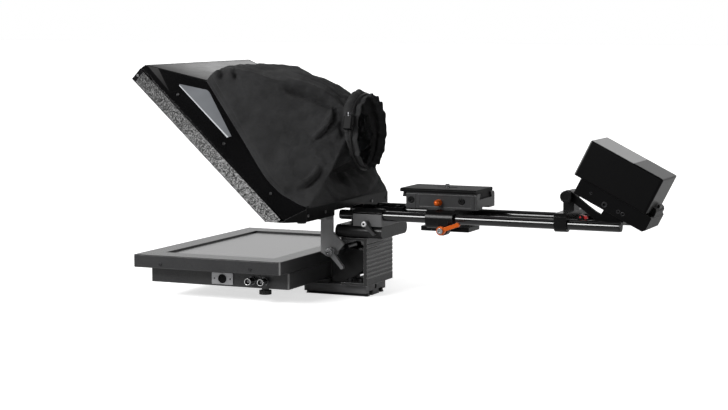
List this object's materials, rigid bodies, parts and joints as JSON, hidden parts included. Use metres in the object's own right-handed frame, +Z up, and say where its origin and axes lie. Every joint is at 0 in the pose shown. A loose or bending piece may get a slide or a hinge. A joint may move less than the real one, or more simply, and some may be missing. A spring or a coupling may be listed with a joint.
{
  "type": "teleprompter",
  "caption": "Camera teleprompter: flat monitor under a folding tilted mirror hood with a cloth shroud, on a riser with twin rods, sliding camera base and tilting battery bracket.",
  "frame": {"origin": "mouth of the tripod thread, at the middle of the underside of the base rail", "axes": "+Z up, -Y towards the reader, +Y towards the camera and battery, +X to the operator's left, the side with the levers and sockets"},
  "size_m": [0.3924, 0.7945, 0.359],
  "materials": {
    "black_coat": "satin black powder coat",
    "hammer_grey": "grey hammer finish",
    "anodised_grey": "dark grey anodised",
    "monitor_grey": "dark grey satin coat",
    "panel_gloss": "glossy black coat",
    "bare_steel": "plain",
    "black_steel": "black oxide",
    "rod_black": "black anodised, bright highlights",
    "plate_silver": "bare",
    "orange_anodised": "orange anodised",
    "red_anodised": "red anodised",
    "screen_glass": "matt screen film",
    "panel_plastic": "plain",
    "board": "circuit board",
    "black_plastic": "moulded",
    "mirror_glass": "partly mirrored",
    "tape": "mottled loop tape",
    "cloth": "black cloth",
    "battery_black": "moulded"
  },
  "bodies": {
    "base": {"dovetail_rail": "anodised_grey", "riser": "anodised_grey", "riser_bolts": "black_steel", "saddle": "black_coat", "front_clamp": "hammer_grey", "clamp_caps": "black_coat", "tilt_yoke": "black_coat", "monitor_bracket": "black_coat", "monitor_bezel": "monitor_grey", "monitor_housing": "monitor_grey", "screen": "screen_glass", "lcd_panel": "panel_plastic", "controller_board": "board", "power_inlet": "plate_silver", "inlet_insert": "black_plastic", "video_sockets": "bare_steel", "bezel_screws": "black_steel"},
    "hood": {"hood_frame": "black_coat", "glass": "mirror_glass", "glass_retainers": "black_coat", "loop_tapes": "tape", "wing_left": "black_coat", "wing_right": "black_coat", "top_panel": "panel_gloss", "hood_base": "black_coat", "hood_screws": "bare_steel", "side_plate": "plate_silver", "hood_arm_left": "hammer_grey", "hood_arm_right": "hammer_grey", "hinge_pin": "bare_steel", "shroud": "cloth", "draw_cord": "cloth", "cord_lock": "black_plastic"},
    "hood_lever": {"hood_lever": "anodised_grey"},
    "hood_knob_left": {"hood_knob_left": "black_plastic"},
    "hood_knob_right": {"hood_knob_right": "black_plastic"},
    "cord_lock_button": {"cord_lock_button": "black_plastic"},
    "monitor_knob_left": {"monitor_knob_left": "black_plastic"},
    "monitor_knob_right": {"monitor_knob_right": "black_plastic"},
    "front_lever": {"front_lever": "anodised_grey"},
    "rods": {"rod_left": "rod_black", "rod_right": "rod_black", "rod_caps": "black_plastic"},
    "sled": {"sled_clamp": "black_coat", "receiver": "anodised_grey", "receiver_screws": "black_steel", "bottom_plate": "black_coat", "sled_bolt": "bare_steel"},
    "camera_plate": {"camera_plate": "black_coat"},
    "camera_screw": {"camera_screw": "bare_steel"},
    "release_button": {"release_button": "orange_anodised"},
    "sled_lever": {"sled_lever": "orange_anodised"},
    "rear_mount": {"rear_clamp": "black_coat"},
    "red_lever": {"red_lever": "red_anodised"},
    "tilt_bracket": {"battery_arm": "black_coat", "battery_plate": "black_coat", "plate_sockets": "black_plastic"},
    "tilt_knob": {"tilt_knob": "black_plastic"},
    "battery": {"battery": "battery_black"},
    "battery_catch": {"battery_catch": "black_plastic"}
  },
  "joints": [
    {"name": "hood_fold", "type": "hinge", "parent": "base", "child": "hood", "pos_m": [0, 0.006, 0.0725], "axis": [1, 0, 0], "range_deg": [0, 38]},
    {"name": "hood_lever_turn", "type": "hinge", "parent": "hood", "child": "hood_lever", "pos_m": [0.061, 0.006, 0.0725], "axis": [1, 0, 0], "range_deg": [0, 90]},
    {"name": "hood_knob_left_turn", "type": "hinge", "parent": "hood", "child": "hood_knob_left", "pos_m": [0.1, -0.028, 0.12], "axis": [0, 0, 1], "continuous": true},
    {"name": "hood_knob_right_turn", "type": "hinge", "parent": "hood", "child": "hood_knob_right", "pos_m": [-0.1, -0.028, 0.12], "axis": [0, 0, 1], "continuous": true},
    {"name": "cord_lock_press", "type": "slide", "parent": "hood", "child": "cord_lock_button", "axis": [0.2756, 0, -0.9613], "range_m": [0, 0.0025], "stiffness_N_per_m": 500},
    {"name": "monitor_knob_left_turn", "type": "hinge", "parent": "base", "child": "monitor_knob_left", "pos_m": [0.15, -0.0655, 0.02], "axis": [0, 0, 1], "continuous": true},
    {"name": "monitor_knob_right_turn", "type": "hinge", "parent": "base", "child": "monitor_knob_right", "pos_m": [-0.15, -0.0655, 0.02], "axis": [0, 0, 1], "continuous": true},
    {"name": "front_lever_turn", "type": "hinge", "parent": "base", "child": "front_lever", "pos_m": [0.056, 0.0605, 0.117], "axis": [1, 0, 0], "range_deg": [0, 90]},
    {"name": "rods_slide", "type": "slide", "parent": "base", "child": "rods", "axis": [0, 1, 0], "range_m": [0, 0.025]},
    {"name": "sled_slide", "type": "slide", "parent": "rods", "child": "sled", "axis": [0, 1, 0], "range_m": [-0.02, 0.06]},
    {"name": "camera_plate_slide", "type": "slide", "parent": "sled", "child": "camera_plate", "axis": [0, 1, 0], "range_m": [-0.015, 0.015]},
    {"name": "camera_screw_turn", "type": "hinge", "parent": "camera_plate", "child": "camera_screw", "pos_m": [0, 0.17225, 0.167], "axis": [0, 0, 1], "continuous": true},
    {"name": "release_press", "type": "slide", "parent": "sled", "child": "release_button", "axis": [-1, 0, 0], "range_m": [0, 0.0025], "stiffness_N_per_m": 600},
    {"name": "sled_lever_turn", "type": "hinge", "parent": "sled", "child": "sled_lever", "pos_m": [0.0598, 0.187, 0.1127], "axis": [1, 0, 0], "range_deg": [0, 90]},
    {"name": "rear_clamp_slide", "type": "slide", "parent": "rods", "child": "rear_mount", "axis": [0, 1, 0], "range_m": [-0.04, 0.06]},
    {"name": "red_lever_turn", "type": "hinge", "parent": "rear_mount", "child": "red_lever", "pos_m": [0.028, 0.394, 0.139], "axis": [1, 0, 0], "range_deg": [0, 60]},
    {"name": "battery_tilt", "type": "hinge", "parent": "rear_mount", "child": "tilt_bracket", "pos_m": [0, 0.37, 0.168], "axis": [1, 0, 0], "range_deg": [0, 50]},
    {"name": "tilt_knob_turn", "type": "hinge", "parent": "tilt_bracket", "child": "tilt_knob", "pos_m": [0.019, 0.37, 0.168], "axis": [1, 0, 0], "continuous": true},
    {"name": "battery_release", "type": "slide", "parent": "tilt_bracket", "child": "battery", "axis": [0, -0.8926, 0.4509], "range_m": [0, 0.04]},
    {"name": "catch_press", "type": "slide", "parent": "tilt_bracket", "child": "battery_catch", "axis": [0, -0.4509, -0.8926], "range_m": [0, 0.004], "stiffness_N_per_m": 500}
  ]
}
